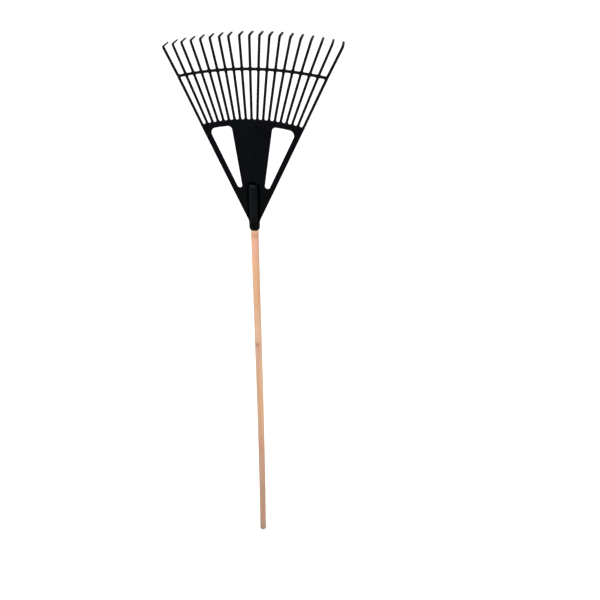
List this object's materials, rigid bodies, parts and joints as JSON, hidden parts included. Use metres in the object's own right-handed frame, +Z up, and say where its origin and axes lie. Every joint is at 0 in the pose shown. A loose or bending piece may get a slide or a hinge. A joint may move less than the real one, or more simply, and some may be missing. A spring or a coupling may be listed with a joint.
{
  "type": "leaf rake",
  "caption": "Leaf rake with a round wooden handle and a black moulded fan head: two windows, a curved crossbar and sprung tines with hooked ends.",
  "frame": {"origin": "centre of the flat on the handle's lower end", "axes": "+Z up the handle towards the fan, +X across the fan, +Y the way the hooks point"},
  "size_m": [0.5128, 0.0524, 1.8635],
  "materials": {
    "wood_handle": "smooth turned softwood, lightly sealed",
    "black_plastic": "black polypropylene with a fine moulded texture",
    "zinc_screw": "zinc plated"
  },
  "bodies": {
    "handle_and_head": {"handle": "wood_handle", "rake_head": "black_plastic", "fixing_screw": "zinc_screw"},
    "tine_fan": {"tine_01": "black_plastic", "tine_02": "black_plastic", "tine_03": "black_plastic", "tine_04": "black_plastic", "tine_05": "black_plastic", "tine_06": "black_plastic", "tine_07": "black_plastic", "tine_08": "black_plastic", "tine_09": "black_plastic", "tine_10": "black_plastic", "tine_11": "black_plastic", "tine_12": "black_plastic", "tine_13": "black_plastic", "tine_14": "black_plastic", "tine_15": "black_plastic", "tine_16": "black_plastic", "tine_17": "black_plastic", "tine_18": "black_plastic", "tine_19": "black_plastic", "crossbar": "black_plastic"},
    "tine_tip_01": {"tine_tip_01": "black_plastic"},
    "tine_tip_02": {"tine_tip_02": "black_plastic"},
    "tine_tip_03": {"tine_tip_03": "black_plastic"},
    "tine_tip_04": {"tine_tip_04": "black_plastic"},
    "tine_tip_05": {"tine_tip_05": "black_plastic"},
    "tine_tip_06": {"tine_tip_06": "black_plastic"},
    "tine_tip_07": {"tine_tip_07": "black_plastic"},
    "tine_tip_08": {"tine_tip_08": "black_plastic"},
    "tine_tip_09": {"tine_tip_09": "black_plastic"},
    "tine_tip_10": {"tine_tip_10": "black_plastic"},
    "tine_tip_11": {"tine_tip_11": "black_plastic"},
    "tine_tip_12": {"tine_tip_12": "black_plastic"},
    "tine_tip_13": {"tine_tip_13": "black_plastic"},
    "tine_tip_14": {"tine_tip_14": "black_plastic"},
    "tine_tip_15": {"tine_tip_15": "black_plastic"},
    "tine_tip_16": {"tine_tip_16": "black_plastic"},
    "tine_tip_17": {"tine_tip_17": "black_plastic"},
    "tine_tip_18": {"tine_tip_18": "black_plastic"},
    "tine_tip_19": {"tine_tip_19": "black_plastic"}
  },
  "joints": [
    {"name": "fan_flex", "type": "hinge", "parent": "handle_and_head", "child": "tine_fan", "pos_m": [0, 0, 1.63], "axis": [1, 0, 0], "range_deg": [-6, 10], "stiffness_Nm_per_rad": 14},
    {"name": "tip_flex_01", "type": "hinge", "parent": "tine_fan", "child": "tine_tip_01", "pos_m": [-0.21695, 0, 1.75637], "axis": [0.8918, 0, 0.4525], "range_deg": [-10, 20], "stiffness_Nm_per_rad": 1.5},
    {"name": "tip_flex_02", "type": "hinge", "parent": "tine_fan", "child": "tine_tip_02", "pos_m": [-0.19293, 0, 1.76082], "axis": [0.9133, 0, 0.4074], "range_deg": [-10, 20], "stiffness_Nm_per_rad": 1.5},
    {"name": "tip_flex_03", "type": "hinge", "parent": "tine_fan", "child": "tine_tip_03", "pos_m": [-0.16887, 0, 1.76479], "axis": [0.9328, 0, 0.3605], "range_deg": [-10, 20], "stiffness_Nm_per_rad": 1.5},
    {"name": "tip_flex_04", "type": "hinge", "parent": "tine_fan", "child": "tine_tip_04", "pos_m": [-0.14478, 0, 1.76821], "axis": [0.9501, 0, 0.3121], "range_deg": [-10, 20], "stiffness_Nm_per_rad": 1.5},
    {"name": "tip_flex_05", "type": "hinge", "parent": "tine_fan", "child": "tine_tip_05", "pos_m": [-0.12065, 0, 1.77108], "axis": [0.965, 0, 0.2623], "range_deg": [-10, 20], "stiffness_Nm_per_rad": 1.5},
    {"name": "tip_flex_06", "type": "hinge", "parent": "tine_fan", "child": "tine_tip_06", "pos_m": [-0.09652, 0, 1.77341], "axis": [0.9774, 0, 0.2113], "range_deg": [-10, 20], "stiffness_Nm_per_rad": 1.5},
    {"name": "tip_flex_07", "type": "hinge", "parent": "tine_fan", "child": "tine_tip_07", "pos_m": [-0.07238, 0, 1.77519], "axis": [0.9872, 0, 0.1593], "range_deg": [-10, 20], "stiffness_Nm_per_rad": 1.5},
    {"name": "tip_flex_08", "type": "hinge", "parent": "tine_fan", "child": "tine_tip_08", "pos_m": [-0.04824, 0, 1.77644], "axis": [0.9943, 0, 0.1066], "range_deg": [-10, 20], "stiffness_Nm_per_rad": 1.5},
    {"name": "tip_flex_09", "type": "hinge", "parent": "tine_fan", "child": "tine_tip_09", "pos_m": [-0.02412, 0, 1.77714], "axis": [0.9986, 0, 0.0534], "range_deg": [-10, 20], "stiffness_Nm_per_rad": 1.5},
    {"name": "tip_flex_10", "type": "hinge", "parent": "tine_fan", "child": "tine_tip_10", "pos_m": [0, 0, 1.7773], "axis": [1, 0, 0], "range_deg": [-10, 20], "stiffness_Nm_per_rad": 1.5},
    {"name": "tip_flex_11", "type": "hinge", "parent": "tine_fan", "child": "tine_tip_11", "pos_m": [0.02412, 0, 1.77714], "axis": [0.9986, 0, -0.0534], "range_deg": [-10, 20], "stiffness_Nm_per_rad": 1.5},
    {"name": "tip_flex_12", "type": "hinge", "parent": "tine_fan", "child": "tine_tip_12", "pos_m": [0.04824, 0, 1.77644], "axis": [0.9943, 0, -0.1066], "range_deg": [-10, 20], "stiffness_Nm_per_rad": 1.5},
    {"name": "tip_flex_13", "type": "hinge", "parent": "tine_fan", "child": "tine_tip_13", "pos_m": [0.07238, 0, 1.77519], "axis": [0.9872, 0, -0.1593], "range_deg": [-10, 20], "stiffness_Nm_per_rad": 1.5},
    {"name": "tip_flex_14", "type": "hinge", "parent": "tine_fan", "child": "tine_tip_14", "pos_m": [0.09652, 0, 1.77341], "axis": [0.9774, 0, -0.2113], "range_deg": [-10, 20], "stiffness_Nm_per_rad": 1.5},
    {"name": "tip_flex_15", "type": "hinge", "parent": "tine_fan", "child": "tine_tip_15", "pos_m": [0.12065, 0, 1.77108], "axis": [0.965, 0, -0.2623], "range_deg": [-10, 20], "stiffness_Nm_per_rad": 1.5},
    {"name": "tip_flex_16", "type": "hinge", "parent": "tine_fan", "child": "tine_tip_16", "pos_m": [0.14478, 0, 1.76821], "axis": [0.9501, 0, -0.3121], "range_deg": [-10, 20], "stiffness_Nm_per_rad": 1.5},
    {"name": "tip_flex_17", "type": "hinge", "parent": "tine_fan", "child": "tine_tip_17", "pos_m": [0.16887, 0, 1.76479], "axis": [0.9328, 0, -0.3605], "range_deg": [-10, 20], "stiffness_Nm_per_rad": 1.5},
    {"name": "tip_flex_18", "type": "hinge", "parent": "tine_fan", "child": "tine_tip_18", "pos_m": [0.19293, 0, 1.76082], "axis": [0.9133, 0, -0.4074], "range_deg": [-10, 20], "stiffness_Nm_per_rad": 1.5},
    {"name": "tip_flex_19", "type": "hinge", "parent": "tine_fan", "child": "tine_tip_19", "pos_m": [0.21695, 0, 1.75637], "axis": [0.8918, 0, -0.4525], "range_deg": [-10, 20], "stiffness_Nm_per_rad": 1.5}
  ]
}
